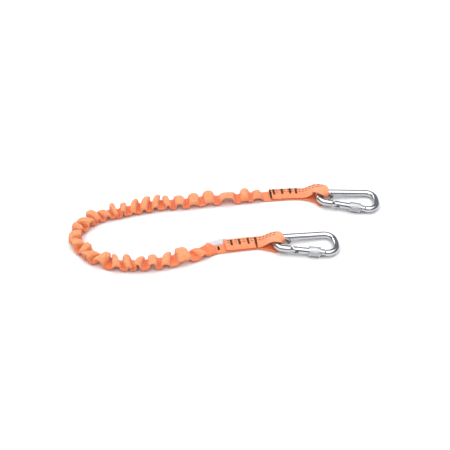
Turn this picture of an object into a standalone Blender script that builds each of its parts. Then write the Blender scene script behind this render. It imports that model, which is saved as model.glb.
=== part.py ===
"""Shock absorbing lanyard: a gathered, elastic webbing leg with a screw-lock snap hook at each end.

The lanyard lies on a floor at z = 0, bent into a U. Both hooks point along +X and the bend is at -X.
The origin is on the floor, under the middle of the two ends (their straps, hooks and label).

Each end has two frames of its own:
  end frame    on the floor under the centre of the hook's eye, +X along the hook, +Y to its spine
  hook frame   on the wire where the strap goes round it, tilted a little nose down; the hook's hinge
Hook outlines are drawn in the hook's plane with the eye's centre at (0, 0).
Gate outlines are drawn with the gate's rivet at (0, 0) and +X along the gate, towards the nose.
"""

import math

import bmesh
import bpy
from mathutils import Matrix, Vector

GAP = 0.0003                # left between two meshes that touch on the real object

# Where the two ends lie: the centre of each hook's eye on the floor, and the hook's heading.
FAR_EYE = (0.0434, 0.0400)
FAR_HEADING = math.radians(-2.6)
NEAR_EYE = (-0.0144, -0.0459)
NEAR_HEADING = math.radians(3.3)

# Webbing: a flattened tube, folded back through the hook's eye and sewn to itself.
WEB_WIDTH = 0.020
WEB_THICK = 0.0022
WIDTH_ON_WIRE = 0.012       # the strap is bunched where it goes round the wire,
WIDTH_IN_EYE = 0.0052       # and more so where it goes through the eye
NARROWS_OVER = 0.014
RISES_OVER = 0.0215         # the top layer's way up to the wire
TOP_LAYER_END = {"far": -0.072, "near": -0.070}
STRAP_START_X = -0.080
STRAP_START_Y = {"far": 0.0074, "near": 0.0029}
STRAP_MIDDLE = {
    "far": [(-0.058, 0.0110), (-0.040, 0.0132), (-0.028, 0.0132)],
    "near": [(-0.058, 0.0062), (-0.040, 0.0080), (-0.028, 0.0088)],
}
STRAP_APPROACH = 0.010      # the last of it points almost at the eye's centre
STRAP_APPROACH_SHIFT = -0.0010

# Bar tacks, counted from the gathered leg: place along the strap, length, and offset to the far edge.
TACKS = {
    "far": [
        (-0.0700, 0.016, 0.0),
        (-0.0655, 0.009, 0.0040),
        (-0.0550, 0.009, 0.0040),
        (-0.0450, 0.009, 0.0040),
        (-0.0375, 0.009, 0.0040),
    ],
    "near": [
        (-0.0765, 0.007, 0.0030),
        (-0.0610, 0.008, 0.0040),
        (-0.0515, 0.008, 0.0040),
        (-0.0410, 0.009, 0.0040),
        (-0.0320, 0.016, 0.0),
    ],
}
TACK_PAD_WIDTH = 0.0018
TACK_PAD_THICK = 0.0005
TACK_WEB = 0.0005
TACK_SLOT_DEPTH = 0.020     # more than both layers

# Snap hook: round wire bent to a pear, 80 mm over all, with an eye at its narrow end.
WIRE_RADIUS = 0.004
EYE_BEND = 0.010            # all bend radii are those of the wire's centre line
SPINE_ANGLE = math.radians(6.5)
SPINE_LENGTH = 0.0504
SHOULDER_BEND = (0.011, math.radians(83))
CROWN_BEND = (0.041, math.radians(18))
NOSE_BEND = 0.0124
WIRE_SIDES = 14
ARC_STEP = math.radians(13)

# Where the strap goes round the wire of the eye, and how high the wire lies there.
WRAP_ANGLE = {"far": math.radians(138), "near": math.radians(156)}
WRAP_HEIGHT = 0.0092
LOOP_RADIUS = 0.0067        # inside of the strap's turn, which lets the hook swing

# Gate, along the straight side, measured from where that side leaves the eye's bend.
RIVET_AT = 0.013
NOSE_AT = 0.0492
GATE_RADIUS = 0.004
GATE_LENGTH = 0.0356        # from the rivet to the gate's end
SLOT_HALF = 0.0017
TONGUE_HALF = SLOT_HALF - GAP
HINGE_SLOT_END = 0.0046
BORE_RADIUS = 0.0017
BORE_END = 0.023
NOSE_SLOT_START = 0.0309    # ahead of the nut, so that the gate can open while the nut is back
NOSE_HALF = 0.0031
NOSE_LIP = 0.0014
RIVET_RADIUS = 0.0013
LATCH_AT = 0.0337
LATCH_RADIUS = 0.0010
CAM_LOW = 0.0026            # the tongue's end is a cam: its radius grows as the gate opens
GATE_OPENS = math.radians(30)
PLUNGER_TRAVEL = 0.0009
PLUNGER_RADIUS = 0.0014
PLUNGER_END = 0.0090
SPRING_RADIUS = 0.0012
SPRING_WIRE = 0.00025
SPRING_TURNS = 7

# Lock nut: it screws along the gate, and over the gate's end and the nose to lock them.
NUT_START = 0.0165
NUT_LENGTH = 0.0140
NUT_RADIUS = 0.0058
NUT_RIM = 0.0022
NUT_RIDGES = 18
RIDGE_DEPTH = 0.0004

# Eyelet: a pressed thimble round the inside of the eye.
EYELET_HOLE = 0.0049
EYELET_HALF = 0.0030
EYELET_STRETCH = 1.25       # its open side, which no wire holds, bulges towards the hook's nose

# Gathered leg: a flattened tube that the relaxed elastic core draws together.
SHEATH_WIDTH = 0.020
SHEATH_HEIGHT = 0.013
SHEATH_WALL = 0.003
CORE_RADIUS = 0.003
SHEATH_Z = SHEATH_HEIGHT / 2 + GAP
SHEATH_SPACING = 0.015

# The gathered leg's way over the floor, from the far strap round the bend to the near strap.
ROUTE = [
    (-0.0478, 0.0470),
    (-0.0728, 0.0445),
    (-0.1018, 0.0410),
    (-0.1298, 0.0350),
    (-0.1578, 0.0315),
    (-0.1848, 0.0240),
    (-0.2118, 0.0170),
    (-0.2328, 0.0095),
    (-0.2498, -0.0050),
    (-0.2598, -0.0190),
    (-0.2628, -0.0330),
    (-0.2578, -0.0470),
    (-0.2468, -0.0600),
    (-0.2298, -0.0720),
    (-0.2088, -0.0800),
    (-0.1858, -0.0810),
    (-0.1628, -0.0780),
    (-0.1408, -0.0725),
    (-0.1218, -0.0645),
]

# A blank label, sewn on beside the near strap's inner end.
LABEL_SIZE = (0.0240, 0.0070, 0.0006)
LABEL_X = -0.0795
LABEL_TILT = math.radians(35)
LABEL_EDGE_Z = 0.0020


# ---------------------------------------------------------------- scene and object helpers

def clear_scene():
    for item in list(bpy.data.objects):
        bpy.data.objects.remove(item, do_unlink=True)


def material(name, colour, roughness, metallic=0.0):
    made = bpy.data.materials.new(name)
    made.use_nodes = True
    shader = made.node_tree.nodes["Principled BSDF"]
    shader.inputs["Base Color"].default_value = (*colour, 1.0)
    shader.inputs["Roughness"].default_value = roughness
    shader.inputs["Metallic"].default_value = metallic
    made.diffuse_color = (*colour, 1.0)
    return made


def frame(name, parent=None, place=(0, 0, 0), turn=(0, 0, 0)):
    """An empty that holds a local frame; turn is an XYZ Euler rotation."""
    empty = bpy.data.objects.new(name, None)
    empty.empty_display_size = 0.01
    empty.location = place
    empty.rotation_euler = turn
    empty.parent = parent
    bpy.context.scene.collection.objects.link(empty)
    return empty


def mesh_object(name, bm, look=None, parent=None, place=(0, 0, 0), smooth=True):
    bmesh.ops.recalc_face_normals(bm, faces=bm.faces)
    mesh = bpy.data.meshes.new(name)
    bm.to_mesh(mesh)
    bm.free()
    if look:
        mesh.materials.append(look)
    if smooth:
        mesh.shade_smooth()
        mesh.set_sharp_from_angle(angle=math.radians(35))
    item = bpy.data.objects.new(name, mesh)
    item.location = place
    item.parent = parent
    bpy.context.scene.collection.objects.link(item)
    return item


def combine(item, name, bm, operation="DIFFERENCE"):
    """Cut another shape, drawn in the item's own frame, out of the item, or join it on."""
    tool = mesh_object(name, bm, parent=item.parent, place=item.location, smooth=False)
    tool.hide_render = True
    tool.display_type = "WIRE"
    step = item.modifiers.new(name, "BOOLEAN")
    step.operation = operation
    step.solver = "EXACT"
    step.object = tool


# ---------------------------------------------------------------- solids

def skin(rings, closed_ends=True):
    """Join equal rings of points into one closed surface."""
    bm = bmesh.new()
    loops = [[bm.verts.new(point) for point in ring] for ring in rings]
    count = len(loops[0])
    for low, high in zip(loops, loops[1:]):
        for i in range(count):
            j = (i + 1) % count
            bm.faces.new((low[i], low[j], high[j], high[i]))
    if closed_ends:
        bm.faces.new(loops[0])
        bm.faces.new(list(reversed(loops[-1])))
    return bm


def prism(outline, low, high):
    """A flat outline given height along Z."""
    return skin([[(x, y, z) for x, y in outline] for z in (low, high)])


def box(size, centre=(0, 0, 0), turn=0.0):
    bm = bmesh.new()
    place = Matrix.Translation(centre) @ Matrix.Rotation(turn, 4, "Z") @ Matrix.Diagonal((*size, 1))
    bmesh.ops.create_cube(bm, size=1, matrix=place)
    return bm


def turned(profile, axis, sides):
    """Turn a profile of (radius, height) about an axis; its ends may lie on the axis."""
    bm = bmesh.new()
    rows = []
    for radius, height in profile:
        if radius == 0:
            spots = [(height, 0, 0)]
        else:
            angles = [2 * math.pi * i / sides for i in range(sides)]
            spots = [(height, radius * math.cos(a), radius * math.sin(a)) for a in angles]
        rows.append([bm.verts.new(spot) for spot in spots])
    solid_ends = profile[0][0] == 0
    pairs = list(zip(rows, rows[1:])) if solid_ends else list(zip(rows, rows[1:] + rows[:1]))
    for low, high in pairs:
        for i in range(sides):
            j = (i + 1) % sides
            corners = [low[i % len(low)], low[j % len(low)], high[j % len(high)], high[i % len(high)]]
            bm.faces.new(list(dict.fromkeys(corners)))
    if axis == "Z":
        bmesh.ops.rotate(bm, verts=bm.verts, matrix=Matrix.Rotation(math.radians(-90), 3, "Y"))
    return bm


def pin(radius, low, high, axis, chamfer=0.0003, sides=16):
    profile = [
        (0, low),
        (radius - chamfer, low),
        (radius, low + chamfer),
        (radius, high - chamfer),
        (radius - chamfer, high),
        (0, high),
    ]
    return turned(profile, axis, sides)


def round_sweep(points, radius, sides, flat_normal):
    """A round wire along points, with square-cut ends."""
    rings = []
    for i, point in enumerate(points):
        before = points[max(i - 1, 0)]
        after = points[min(i + 1, len(points) - 1)]
        along = (after - before).normalized()
        across = along.cross(flat_normal).normalized()
        up = across.cross(along)
        ring = []
        for k in range(sides):
            a = 2 * math.pi * (k + 0.5) / sides
            ring.append(point + radius * (math.cos(a) * across + math.sin(a) * up))
        rings.append(ring)
    return skin(rings)


def arc(centre, radius, start, stop, steps):
    """Points on an arc from one angle to another, both included."""
    angles = [start + (stop - start) * i / steps for i in range(steps + 1)]
    return [(centre[0] + radius * math.cos(a), centre[1] + radius * math.sin(a)) for a in angles]


# ---------------------------------------------------------------- outline of the hook's wire

def heading_vector(angle):
    return Vector((math.cos(angle), math.sin(angle)))


def right_of(angle):
    return Vector((math.sin(angle), -math.cos(angle)))


def right_bend(centre, radius, start, stop):
    """A bend to the right from one heading to a smaller one, about a centre."""
    steps = max(2, math.ceil((start - stop) / ARC_STEP))
    spots = []
    for i in range(steps + 1):
        heading = start + (stop - start) * i / steps
        spots.append(centre - radius * right_of(heading))
    return spots


def hook_outline():
    """The wire's centre line from the gate's hinge round to the nose, and the gate side's line."""
    spine_start = -EYE_BEND * right_of(SPINE_ANGLE)
    spine_end = spine_start + SPINE_LENGTH * heading_vector(SPINE_ANGLE)

    shoulder_radius, shoulder_turn = SHOULDER_BEND
    crown_radius, crown_turn = CROWN_BEND
    after_shoulder = SPINE_ANGLE - shoulder_turn
    after_crown = after_shoulder - crown_turn
    shoulder_centre = spine_end + shoulder_radius * right_of(SPINE_ANGLE)
    crown_centre = shoulder_centre + (crown_radius - shoulder_radius) * right_of(after_shoulder)
    nose_centre = crown_centre + (NOSE_BEND - crown_radius) * right_of(after_crown)

    # The gate side touches both the eye's bend and the nose's bend.
    reach = nose_centre.length
    side = math.atan2(nose_centre.y, nose_centre.x) - math.asin((NOSE_BEND - EYE_BEND) / reach)
    gate_side_start = EYE_BEND * right_of(side)
    back = side + math.pi

    line = [gate_side_start + (RIVET_AT - GATE_RADIUS - 2 * GAP) * heading_vector(side)]
    line += right_bend(Vector((0, 0)), EYE_BEND, back, SPINE_ANGLE)
    line += right_bend(shoulder_centre, shoulder_radius, SPINE_ANGLE, after_shoulder)
    line += right_bend(crown_centre, crown_radius, after_shoulder, after_crown)[1:]
    line += right_bend(nose_centre, NOSE_BEND, after_crown, back - 2 * math.pi)[1:]
    line.append(gate_side_start + NOSE_AT * heading_vector(side))
    return line, gate_side_start, side


# ---------------------------------------------------------------- the hook's pieces

def tongue_outline(shoulder):
    """The flat tongue that the gate turns on, in the gate's frame. Its end is the plunger's cam."""
    cam = []
    steps = 9
    for i in range(steps + 1):
        a = -math.pi / 2 + math.pi * i / steps
        rise = PLUNGER_TRAVEL * min(max(a / GATE_OPENS, 0.0), 1.2)
        cam.append(((CAM_LOW + rise) * math.cos(a), (CAM_LOW + rise) * math.sin(a)))
    return [(shoulder, -CAM_LOW)] + cam + [(shoulder, cam[-1][1])]


def nose_outline(shoulder):
    """The flat nose that hooks round the gate's latch pin, open towards the spine."""
    tip = NOSE_SLOT_START + 2 * GAP
    notch = LATCH_RADIUS + GAP
    notch_arc = arc((LATCH_AT, 0), notch, math.pi, 2 * math.pi, 6)
    return [
        (shoulder, -NOSE_HALF),
        (tip, -NOSE_HALF),
        (tip, NOSE_LIP),
        (LATCH_AT - notch, NOSE_LIP),
        *notch_arc,
        (LATCH_AT + notch, NOSE_HALF),
        (shoulder, NOSE_HALF),
    ]


def hook_body(end, look, hinge, wrap):
    """The bent wire, with a tongue at the gate's hinge and a notched nose."""
    line, side_start, side = hook_outline()
    points = [Vector((*spot, 0)) - wrap for spot in line]
    body = mesh_object(
        f"{end}_hook_body",
        round_sweep(points, WIRE_RADIUS, WIRE_SIDES, Vector((0, 0, 1))),
        look,
        hinge,
    )
    rivet = side_start + RIVET_AT * heading_vector(side)
    into_gate = Matrix.Translation(Vector((*rivet, 0)) - wrap) @ Matrix.Rotation(side, 4, "Z")
    overlap = 0.002
    tongue = prism(tongue_outline(-GATE_RADIUS - 2 * GAP - overlap), -TONGUE_HALF, TONGUE_HALF)
    nose = prism(nose_outline(NOSE_AT - RIVET_AT + overlap), -TONGUE_HALF, TONGUE_HALF)
    hole = pin(RIVET_RADIUS + GAP, -2 * TONGUE_HALF, 2 * TONGUE_HALF, "Z", chamfer=0.0001)
    for name, shape, operation in (
        ("tongue", tongue, "UNION"),
        ("nose", nose, "UNION"),
        ("rivet_hole", hole, "DIFFERENCE"),
    ):
        bmesh.ops.transform(shape, matrix=into_gate, verts=shape.verts)
        combine(body, f"{end}_{name}", shape, operation)
    gate_frame = frame(f"{end}_gate_frame", hinge, Vector((*rivet, 0)) - wrap, (0, 0, side))
    return gate_frame


def eyelet(end, look, hinge, wrap):
    """A thimble whose grooved outside fits the wire of the eye."""
    groove = WIRE_RADIUS + GAP
    reach = math.asin((EYELET_HALF - GAP) / groove)
    angles = [-reach + 2 * reach * i / 6 for i in range(7)]
    hollow = [(EYE_BEND - groove * math.cos(a), groove * math.sin(a)) for a in angles]
    lip = 0.0005
    profile = [
        (EYELET_HOLE, EYELET_HALF - lip),
        (EYELET_HOLE, lip - EYELET_HALF),
        (EYELET_HOLE + lip, -EYELET_HALF),
        (hollow[0][0], -EYELET_HALF),
        *hollow,
        (hollow[-1][0], EYELET_HALF),
        (EYELET_HOLE + lip, EYELET_HALF),
    ]
    ring = turned(profile, "Z", 24)
    for corner in ring.verts:
        if corner.co.x > 0:
            corner.co.x *= EYELET_STRETCH
    mesh_object(f"{end}_eyelet", ring, look, hinge, -wrap)


def gate(end, look, gate_frame):
    """A round bar, slotted over the tongue and over the nose, and bored for its spring."""
    chamfer = 0.0004
    dome = [
        (GATE_RADIUS * math.sin(a), -GATE_RADIUS * math.cos(a))
        for a in (math.radians(18 * i) for i in range(1, 6))
    ]
    profile = [
        (0, -GATE_RADIUS),
        *dome,
        (GATE_RADIUS, GATE_LENGTH - chamfer),
        (GATE_RADIUS - chamfer, GATE_LENGTH),
        (0, GATE_LENGTH),
    ]
    bar = mesh_object(f"{end}_gate", turned(profile, "X", 24), look, gate_frame)
    margin = 0.003
    hinge_slot = HINGE_SLOT_END + GATE_RADIUS + margin
    nose_slot = GATE_LENGTH - NOSE_SLOT_START + margin
    across = 4 * GATE_RADIUS
    latch_seat = pin(LATCH_RADIUS + GAP, -across, across, "Z")
    bmesh.ops.translate(latch_seat, vec=(LATCH_AT, 0, 0), verts=latch_seat.verts)
    cuts = {
        "hinge_slot": box(
            (hinge_slot, across, 2 * SLOT_HALF), (HINGE_SLOT_END - hinge_slot / 2, 0, 0)
        ),
        "nose_slot": box(
            (nose_slot, across, 2 * SLOT_HALF), (NOSE_SLOT_START + nose_slot / 2, 0, 0)
        ),
        "spring_bore": pin(BORE_RADIUS, HINGE_SLOT_END - margin, BORE_END, "X", sides=14),
        "rivet_seat": pin(RIVET_RADIUS + GAP, -across, across, "Z"),
        "latch_seat": latch_seat,
    }
    for name, shape in cuts.items():
        combine(bar, f"{end}_{name}", shape)


def gate_pins(end, look, gate_frame):
    """The rivet that the gate turns on, and the latch pin that the nose hooks round."""
    half = GATE_RADIUS - GAP
    mesh_object(f"{end}_gate_rivet", pin(RIVET_RADIUS, -half, half, "Z"), look, gate_frame)
    latch = pin(LATCH_RADIUS, -half, half, "Z")
    mesh_object(f"{end}_latch_pin", latch, look, gate_frame, (LATCH_AT, 0, 0))


def plunger(end, look, gate_frame):
    """The round-nosed plunger that rides on the tongue's cam; its origin is on its own axis."""
    tip = CAM_LOW + GAP
    nose = [
        (PLUNGER_RADIUS * math.sin(a), tip + PLUNGER_RADIUS * (1 - math.cos(a)))
        for a in (math.radians(22.5 * i) for i in range(1, 5))
    ]
    profile = [(0, tip), *nose, (PLUNGER_RADIUS, PLUNGER_END), (0, PLUNGER_END)]
    mesh_object(f"{end}_gate_plunger", turned(profile, "X", 14), look, gate_frame)


def spring(end, look, gate_frame):
    """The coil spring behind the plunger, at the length it has with the gate wide open."""
    start = PLUNGER_END + PLUNGER_TRAVEL + SPRING_WIRE + GAP
    stop = BORE_END - SPRING_WIRE - GAP
    per_turn = 8
    steps = SPRING_TURNS * per_turn
    points = []
    for i in range(steps + 1):
        a = 2 * math.pi * i / per_turn
        x = start + (stop - start) * i / steps
        points.append(Vector((x, SPRING_RADIUS * math.cos(a), SPRING_RADIUS * math.sin(a))))
    coil = round_sweep(points, SPRING_WIRE, 5, Vector((1, 0, 0)))
    mesh_object(f"{end}_gate_spring", coil, look, gate_frame)


def lock_nut(end, look, gate_frame):
    """A sleeve with a plain rim at each end and ridges for the fingers between them."""
    bore = GATE_RADIUS + GAP
    chamfer = 0.0006
    half = NUT_LENGTH / 2
    rows = [
        (bore, -half + chamfer, 0),
        (bore + chamfer, -half, 0),
        (NUT_RADIUS - chamfer, -half, 0),
        (NUT_RADIUS, -half + chamfer, 0),
        (NUT_RADIUS, -half + NUT_RIM, 0),
        (NUT_RADIUS, -half + NUT_RIM + RIDGE_DEPTH, RIDGE_DEPTH),
        (NUT_RADIUS, half - NUT_RIM - RIDGE_DEPTH, RIDGE_DEPTH),
        (NUT_RADIUS, half - NUT_RIM, 0),
        (NUT_RADIUS, half - chamfer, 0),
        (NUT_RADIUS - chamfer, half, 0),
        (bore + chamfer, half, 0),
        (bore, half - chamfer, 0),
    ]
    sides = 2 * NUT_RIDGES
    rings = []
    for radius, x, dip in rows:
        ring = []
        for k in range(sides):
            a = 2 * math.pi * (k + 0.5) / sides
            r = radius - dip * (k % 2)
            ring.append((x, r * math.cos(a), r * math.sin(a)))
        rings.append(ring)
    sleeve = skin(rings + rings[:1], closed_ends=False)
    bmesh.ops.remove_doubles(sleeve, verts=sleeve.verts, dist=0.00001)
    mesh_object(f"{end}_lock_nut", sleeve, look, gate_frame, (NUT_START + half, 0, 0))


# ---------------------------------------------------------------- the strap and what is sewn to it

def smooth_curve(points, per_span):
    """A Catmull-Rom curve through points."""
    ends = [2 * points[0] - points[1], *points, 2 * points[-1] - points[-2]]
    curve = []
    for a, b, c, d in zip(ends, ends[1:], ends[2:], ends[3:]):
        for i in range(per_span):
            t = i / per_span
            curve.append(
                0.5 * (2 * b + (c - a) * t + (2 * a - 5 * b + 4 * c - d) * t**2
                       + (3 * b - a - 3 * c + d) * t**3)
            )
    return curve + [points[-1].copy()]


def strap_plan(end, wrap):
    """The strap's centre line seen from above, from the gathered leg to the wire of the eye."""
    into_eye = -wrap.normalized()
    return smooth_curve(
        [
            Vector((STRAP_START_X, STRAP_START_Y[end], 0)),
            *[Vector((*spot, 0)) for spot in STRAP_MIDDLE[end]],
            wrap - STRAP_APPROACH * into_eye + Vector((0, STRAP_APPROACH_SHIFT, 0)),
            wrap,
        ],
        5,
    )


def ease(t):
    t = min(max(t, 0.0), 1.0)
    return t * t * (3 - 2 * t)


def strap_stations(end, wrap):
    """Stations along the folded strap: place, direction across it, and width."""
    plan = strap_plan(end, wrap)
    into_eye = -wrap.normalized()
    across_eye = Vector((-into_eye.y, into_eye.x, 0))
    middle = LOOP_RADIUS + WEB_THICK / 2
    low_z = WRAP_HEIGHT - middle
    high_z = WRAP_HEIGHT + middle
    folded_z = low_z + WEB_THICK + GAP

    lower, upper = [], []
    for i, spot in enumerate(plan[:-1]):
        along = (plan[i + 1] - plan[max(i - 1, 0)]).normalized()
        across = Vector((-along.y, along.x, 0))
        left = (plan[-1] - spot).length
        width = WIDTH_ON_WIRE + (WEB_WIDTH - WIDTH_ON_WIRE) * ease(left / NARROWS_OVER)
        rise = (high_z - folded_z) * (1 - ease(left / RISES_OVER))
        lower.append((spot + Vector((0, 0, low_z)), across, width))
        if spot.x > TOP_LAYER_END[end]:
            upper.append((spot + Vector((0, 0, folded_z + rise)), across, width))

    turn = []
    steps = 14
    for i in range(steps + 1):
        a = math.pi * (i / steps - 0.5)
        spot = plan[-1] + into_eye * (middle * math.cos(a))
        spot.z = WRAP_HEIGHT + middle * math.sin(a)
        outside = ease((abs(a) - math.radians(72)) / math.radians(18))
        width = WIDTH_IN_EYE + (WIDTH_ON_WIRE - WIDTH_IN_EYE) * outside
        turn.append((spot, across_eye, width))
    return lower + turn + upper[::-1]


def eye_strap(end, look, end_frame, wrap):
    """One length of webbing: in under the wire, up through the eye, and back over itself."""
    stations = strap_stations(end, wrap)
    rings = []
    for i, (spot, across, width) in enumerate(stations):
        before = stations[max(i - 1, 0)][0]
        after = stations[min(i + 1, len(stations) - 1)][0]
        normal = (after - before).cross(across).normalized()
        side = across * (width / 2)
        face = normal * (WEB_THICK / 2)
        rings.append([spot - side - face, spot + side - face, spot + side + face, spot - side + face])
    strap = mesh_object(f"{end}_eye_strap", skin(rings), look, end_frame)
    for number, (x, length, offset) in enumerate(TACKS[end], 1):
        centre, turn = place_on_strap(end, wrap, x, offset)
        slot = box((TACK_WEB + 2 * GAP, length + 2 * GAP, TACK_SLOT_DEPTH), centre, turn)
        combine(strap, f"{end}_tack_slot_{number}", slot)


def place_on_strap(end, wrap, x, offset):
    """A point above the strap's plan line, moved across it, and the line's heading there."""
    plan = strap_plan(end, wrap)
    for before, after in zip(plan, plan[1:]):
        if before.x <= x <= after.x:
            share = (x - before.x) / (after.x - before.x)
            spot = before.lerp(after, share)
            along = (after - before).normalized()
            across = Vector((-along.y, along.x, 0))
            return spot + offset * across, math.atan2(along.y, along.x)
    raise ValueError("the place is beyond the strap's straight run")


def bar_tacks(end, look, end_frame, wrap):
    """Rows of dense stitching: a pad on top of the webbing and the threads that go through it."""
    bottom = WRAP_HEIGHT - LOOP_RADIUS - WEB_THICK
    for number, (x, length, offset) in enumerate(TACKS[end], 1):
        layers = 1 if x < TOP_LAYER_END[end] else 2
        top = bottom + layers * WEB_THICK + (layers - 1) * GAP + GAP
        wide = TACK_PAD_WIDTH / 2
        thin = TACK_WEB / 2
        outline = [
            (-thin, bottom),
            (thin, bottom),
            (thin, top),
            (wide, top),
            (wide, top + TACK_PAD_THICK),
            (-wide, top + TACK_PAD_THICK),
            (-wide, top),
            (-thin, top),
        ]
        shape = skin([[(u, v, z) for u, z in outline] for v in (-length / 2, length / 2)])
        centre, turn = place_on_strap(end, wrap, x, offset)
        tack = mesh_object(f"{end}_bar_tack_{number}", shape, look, end_frame, centre, smooth=False)
        tack.rotation_euler.z = turn


def label(look, end_frame, wrap):
    """A blank woven label that leans up from the near strap's far edge."""
    half = LABEL_SIZE[1] / 2
    offset = WEB_WIDTH / 2 + 2 * GAP + half * math.cos(LABEL_TILT)
    centre, turn = place_on_strap("near", wrap, LABEL_X, offset)
    centre.z = LABEL_EDGE_Z + half * math.sin(LABEL_TILT)
    plate = mesh_object("label", box(LABEL_SIZE), look, end_frame, centre, smooth=False)
    plate.rotation_euler = (LABEL_TILT, 0, turn)


# ---------------------------------------------------------------- the gathered leg

def leg_points(start, stop):
    """Evenly spaced points on a smooth curve through the route, from one strap to the other."""
    keys = [start] + [Vector((*spot, 0)) for spot in ROUTE] + [stop]
    fine = smooth_curve(keys, 12)
    lengths = [0.0]
    for before, after in zip(fine, fine[1:]):
        lengths.append(lengths[-1] + (after - before).length)
    count = round(lengths[-1] / SHEATH_SPACING)
    points = []
    k = 0
    for i in range(count + 1):
        goal = lengths[-1] * i / count
        while k < len(fine) - 2 and lengths[k + 1] < goal:
            k += 1
        share = (goal - lengths[k]) / (lengths[k + 1] - lengths[k])
        points.append(fine[k].lerp(fine[k + 1], share) + Vector((0, 0, SHEATH_Z)))
    return points


def sheath(points, first_along, last_along, look):
    """A flattened tube, open at both ends, which are square to the straps that they meet."""
    sides = 18
    middle = [(after - before).normalized() for before, after in zip(points, points[2:])]
    outer, inner = [], []
    for point, along in zip(points, [first_along, *middle, last_along]):
        across = Vector((-along.y, along.x, 0))
        for rings, shrink in ((outer, 0.0), (inner, SHEATH_WALL)):
            ring = []
            for k in range(sides):
                a = 2 * math.pi * k / sides
                side = (SHEATH_WIDTH / 2 - shrink) * math.cos(a)
                up = (SHEATH_HEIGHT / 2 - shrink) * math.sin(a)
                ring.append(point + side * across + Vector((0, 0, up)))
            rings.append(ring)
    bm = skin(outer + inner[::-1] + outer[:1], closed_ends=False)
    bmesh.ops.remove_doubles(bm, verts=bm.verts, dist=0.00001)
    mesh_object("webbing_sheath", bm, look)


def elastic_core(points, look):
    """The round elastic cord inside the sheath."""
    line = bpy.data.curves.new("elastic_core", "CURVE")
    line.dimensions = "3D"
    line.bevel_depth = CORE_RADIUS
    line.bevel_resolution = 2
    line.use_fill_caps = True
    spline = line.splines.new("POLY")
    spline.points.add(len(points) - 1)
    for knot, point in zip(spline.points, points):
        knot.co = (*point, 1)
    line.materials.append(look)
    core = bpy.data.objects.new("elastic_core", line)
    bpy.context.scene.collection.objects.link(core)


def lanyard_end(end, eye, heading, looks):
    """One strap with its hook. Returns where the gathered leg meets the strap, and its direction."""
    wrap = Vector((*(EYE_BEND * heading_vector(WRAP_ANGLE[end])), 0))
    end_frame = frame(f"{end}_end_frame", None, (*eye, 0), (0, 0, heading))

    # The hook rests on its lock nut's front rim and on the strap under its eye, which sets its tilt.
    _, side_start, side = hook_outline()
    rim = side_start + (RIVET_AT + NUT_START + NUT_LENGTH) * heading_vector(side)
    tilt = math.asin((WRAP_HEIGHT - NUT_RADIUS) / (rim.x - wrap.x))
    hinge = frame(f"{end}_hook_frame", end_frame, (wrap.x, wrap.y, WRAP_HEIGHT), (0, tilt, 0))

    gate_frame = hook_body(end, looks["wire"], hinge, wrap)
    eyelet(end, looks["eyelet"], hinge, wrap)
    gate(end, looks["gate"], gate_frame)
    gate_pins(end, looks["pin"], gate_frame)
    plunger(end, looks["pin"], gate_frame)
    spring(end, looks["spring"], gate_frame)
    lock_nut(end, looks["nut"], gate_frame)
    eye_strap(end, looks["webbing"], end_frame, wrap)
    bar_tacks(end, looks["thread"], end_frame, wrap)
    if end == "near":
        label(looks["label"], end_frame, wrap)

    plan = strap_plan(end, wrap)
    along = (plan[1] - plan[0]).normalized()
    turn = Matrix.Rotation(heading, 3, "Z")
    return Vector((*eye, 0)) + turn @ (plan[0] - GAP * along), turn @ along


def main():
    clear_scene()
    looks = {
        "wire": material("plated_wire", (0.72, 0.73, 0.74), 0.16, 1.0),
        "eyelet": material("plated_eyelet", (0.70, 0.71, 0.72), 0.22, 1.0),
        "gate": material("plated_gate", (0.70, 0.71, 0.72), 0.20, 1.0),
        "pin": material("steel_pin", (0.55, 0.56, 0.57), 0.30, 1.0),
        "spring": material("spring_steel", (0.45, 0.45, 0.46), 0.35, 1.0),
        "nut": material("satin_nut", (0.66, 0.67, 0.68), 0.50, 1.0),
        "webbing": material("orange_webbing", (0.93, 0.27, 0.08), 0.80),
        "thread": material("black_thread", (0.02, 0.02, 0.02), 0.70),
        "label": material("white_label", (0.85, 0.85, 0.83), 0.60),
        "elastic": material("elastic", (0.75, 0.72, 0.65), 0.60),
    }
    start, far_along = lanyard_end("far", FAR_EYE, FAR_HEADING, looks)
    stop, near_along = lanyard_end("near", NEAR_EYE, NEAR_HEADING, looks)
    points = leg_points(start, stop)
    sheath(points, -far_along, near_along, looks["webbing"])
    elastic_core(points, looks["elastic"])


main()
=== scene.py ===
"""Looks of the shock absorbing lanyard: gathered webbing, sewn straps, snap hooks, floor and light.

Everything is in metres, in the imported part's frame. The sizes in the first block, the route and the
hooks' outline repeat those of the CAD source. Each end has two frames, as there:
  end frame    on the floor under the centre of the hook's eye, +X along the hook, +Y to its spine
  hook frame   on the wire where the strap goes round it, tilted a little nose down
Webbing is made from rows across it: v runs over a row from -1 (right edge) to 1 (left edge).
"""

import math
import random

import bmesh
import bpy
import numpy as np
from mathutils import Matrix, Vector


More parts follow.
